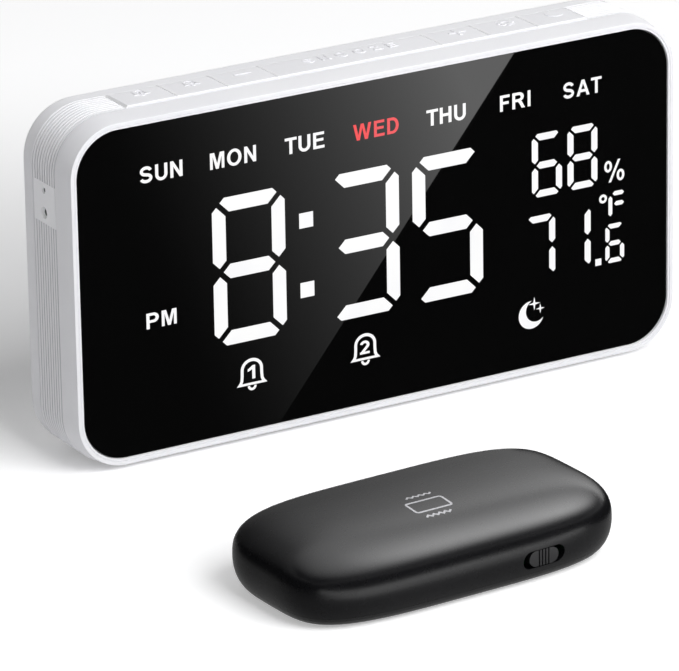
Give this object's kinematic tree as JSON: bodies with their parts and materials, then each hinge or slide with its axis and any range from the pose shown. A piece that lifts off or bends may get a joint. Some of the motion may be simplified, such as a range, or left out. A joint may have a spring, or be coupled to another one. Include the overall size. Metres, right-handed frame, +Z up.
{
  "type": "bed shaker alarm clock",
  "caption": "Wide mirror-black digital desk clock with ribbed white case, top buttons and a separate wireless shaker pad that vibrates under a pillow.",
  "frame": {"origin": "middle of the clock foot's underside, on the desk", "axes": "+Z up, the clock's face looks towards -Y, +X to the right as seen from the front; the pad stands in front of the clock on the same desk"},
  "size_m": [0.1908, 0.1547, 0.0973],
  "materials": {
    "white_shell": "satin white ABS moulding",
    "white_button": "satin white ABS moulding",
    "black_face": "mirror-black acrylic face",
    "lit_white": "milky light guides that glow white",
    "box_white": "white reflector moulding",
    "board_green": "glass-epoxy circuit board with green solder mask",
    "led_yellow": "phosphor-coated light-emitting chips",
    "chip_black": "moulded epoxy packages",
    "tin_can": "tinned steel sheet",
    "screw_steel": "zinc-plated steel",
    "rubber_black": "matt rubber",
    "pad_black": "satin black ABS moulding",
    "speaker_dark": "coated speaker basket",
    "cell_foil": "aluminium pouch foil",
    "motor_steel": "drawn steel can",
    "weight_brass": "sintered heavy alloy, brass coloured"
  },
  "bodies": {
    "clock": {"front_frame": "white_shell", "ribbed_band": "white_shell", "rear_cover": "white_shell", "display_face": "black_face", "hour_segments": "lit_white", "ten_minute_segments": "lit_white", "minute_segments": "lit_white", "colon_dots": "lit_white", "humidity_segments": "lit_white", "temperature_segments": "lit_white", "light_box": "box_white", "led_board": "board_green", "led_chips": "led_yellow", "main_board": "board_green", "board_chips": "chip_black", "radio_module": "tin_can", "coin_cell": "tin_can", "cell_holder": "chip_black", "power_socket": "tin_can", "speaker": "speaker_dark", "button_board": "board_green", "button_switches": "chip_black", "sensor_board": "board_green", "side_sensors": "chip_black", "case_screws": "screw_steel", "board_screws": "screw_steel", "clock_foot": "rubber_black"},
    "alarm_one_button_key": {"alarm_one_button": "white_button"},
    "alarm_two_button_key": {"alarm_two_button": "white_button"},
    "minus_button_key": {"minus_button": "white_button"},
    "snooze_button_key": {"snooze_button": "white_button"},
    "plus_button_key": {"plus_button": "white_button"},
    "settings_button_key": {"settings_button": "white_button"},
    "dimmer_button_key": {"dimmer_button": "white_button"},
    "pad": {"pad_shell": "pad_black", "pad_base": "pad_black", "pad_board": "board_green", "pad_chips": "chip_black", "pad_battery": "cell_foil", "pad_charge_socket": "tin_can", "pad_switch": "tin_can", "motor_can": "motor_steel", "motor_clamp": "motor_steel", "pad_screws": "screw_steel", "pad_foot": "rubber_black"},
    "pad_knob": {"pad_switch_knob": "pad_black"},
    "rotor": {"motor_shaft": "screw_steel", "shaker_weight": "weight_brass"}
  },
  "joints": [
    {"name": "alarm_one_press", "type": "slide", "parent": "clock", "child": "alarm_one_button_key", "axis": [0, 0, -1], "range_m": [0, 0.0004], "stiffness_N_per_m": 1500, "springref_m": -0.0004},
    {"name": "alarm_two_press", "type": "slide", "parent": "clock", "child": "alarm_two_button_key", "axis": [0, 0, -1], "range_m": [0, 0.0004], "stiffness_N_per_m": 1500, "springref_m": -0.0004},
    {"name": "minus_press", "type": "slide", "parent": "clock", "child": "minus_button_key", "axis": [0, 0, -1], "range_m": [0, 0.0004], "stiffness_N_per_m": 1500, "springref_m": -0.0004},
    {"name": "snooze_press", "type": "slide", "parent": "clock", "child": "snooze_button_key", "axis": [0, 0, -1], "range_m": [0, 0.0004], "stiffness_N_per_m": 1500, "springref_m": -0.0004},
    {"name": "plus_press", "type": "slide", "parent": "clock", "child": "plus_button_key", "axis": [0, 0, -1], "range_m": [0, 0.0004], "stiffness_N_per_m": 1500, "springref_m": -0.0004},
    {"name": "settings_press", "type": "slide", "parent": "clock", "child": "settings_button_key", "axis": [0, 0, -1], "range_m": [0, 0.0004], "stiffness_N_per_m": 1500, "springref_m": -0.0004},
    {"name": "dimmer_press", "type": "slide", "parent": "clock", "child": "dimmer_button_key", "axis": [0, 0, -1], "range_m": [0, 0.0004], "stiffness_N_per_m": 1500, "springref_m": -0.0004},
    {"name": "pad_lift", "type": "slide", "parent": "clock", "child": "pad", "axis": [0, 0, 1], "range_m": [0, 0.1]},
    {"name": "pad_switch_slide", "type": "slide", "parent": "pad", "child": "pad_knob", "axis": [0.9986, 0.0523, 0], "range_m": [-0.0018, 0.0018]},
    {"name": "shaker_spin", "type": "hinge", "parent": "pad", "child": "rotor", "pos_m": [-0.04884, -0.10801, 0.01025], "axis": [0.9986, 0.0523, 0], "continuous": true}
  ]
}
